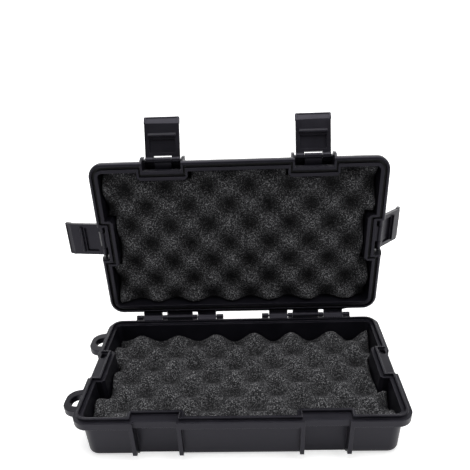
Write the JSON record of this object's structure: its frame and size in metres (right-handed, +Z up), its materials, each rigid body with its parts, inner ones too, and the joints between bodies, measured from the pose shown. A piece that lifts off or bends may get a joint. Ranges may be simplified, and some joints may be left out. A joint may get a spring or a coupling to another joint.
{
  "type": "magnetic storage box",
  "caption": "Hinged moulded storage case with sealed rim, side latches, foam pads and magnets under its floor, shown open; it holds to steel by its flat underside.",
  "frame": {"origin": "centre of the base's flat underside", "axes": "+X along the case to the right, +Y from the latched front to the hinges, +Z up out of the open base"},
  "size_m": [0.2818, 0.174, 0.1983],
  "materials": {
    "case_plastic": "satin moulded black",
    "latch_plastic": "satin moulded black",
    "seal_rubber": "matt",
    "foam": "open-cell charcoal foam",
    "pin_steel": "blackened spring wire",
    "magnet_plating": "bright nickel plating",
    "strip_steel": "zinc plated"
  },
  "bodies": {
    "base": {"base_shell": "case_plastic", "base_foam": "foam", "hinge_pin_left": "pin_steel", "hinge_pin_right": "pin_steel", "magnet_1": "magnet_plating", "magnet_2": "magnet_plating", "magnet_3": "magnet_plating", "magnet_4": "magnet_plating", "backing_strip_left": "strip_steel", "backing_strip_right": "strip_steel"},
    "lid": {"lid_shell": "case_plastic", "lid_foam": "foam", "lid_seal": "seal_rubber", "front_latch_pin_left": "pin_steel", "front_latch_pin_right": "pin_steel", "side_latch_pin_left": "pin_steel", "side_latch_pin_right": "pin_steel"},
    "front_left_lever": {"front_latch_left": "latch_plastic"},
    "front_right_lever": {"front_latch_right": "latch_plastic"},
    "side_left_lever": {"side_latch_left": "latch_plastic"},
    "side_right_lever": {"side_latch_right": "latch_plastic"}
  },
  "joints": [
    {"name": "lid_hinge", "type": "hinge", "parent": "base", "child": "lid", "pos_m": [0, 0.07, 0.0353], "axis": [1, 0, 0], "range_deg": [0, 91]},
    {"name": "front_left_latch_hinge", "type": "hinge", "parent": "lid", "child": "front_left_lever", "pos_m": [-0.0578, 0.08364, 0.16918], "axis": [1, 0, 0], "range_deg": [-37, 113]},
    {"name": "front_right_latch_hinge", "type": "hinge", "parent": "lid", "child": "front_right_lever", "pos_m": [0.0578, 0.08364, 0.16918], "axis": [1, 0, 0], "range_deg": [-34, 116]},
    {"name": "side_left_latch_hinge", "type": "hinge", "parent": "lid", "child": "side_left_lever", "pos_m": [-0.1141, 0.08252, 0.10509], "axis": [0, -0.0175, -0.9998], "range_deg": [-97, 53]},
    {"name": "side_right_latch_hinge", "type": "hinge", "parent": "lid", "child": "side_right_lever", "pos_m": [0.1141, 0.08252, 0.10509], "axis": [0, 0.0175, 0.9998], "range_deg": [-136, 14]}
  ]
}
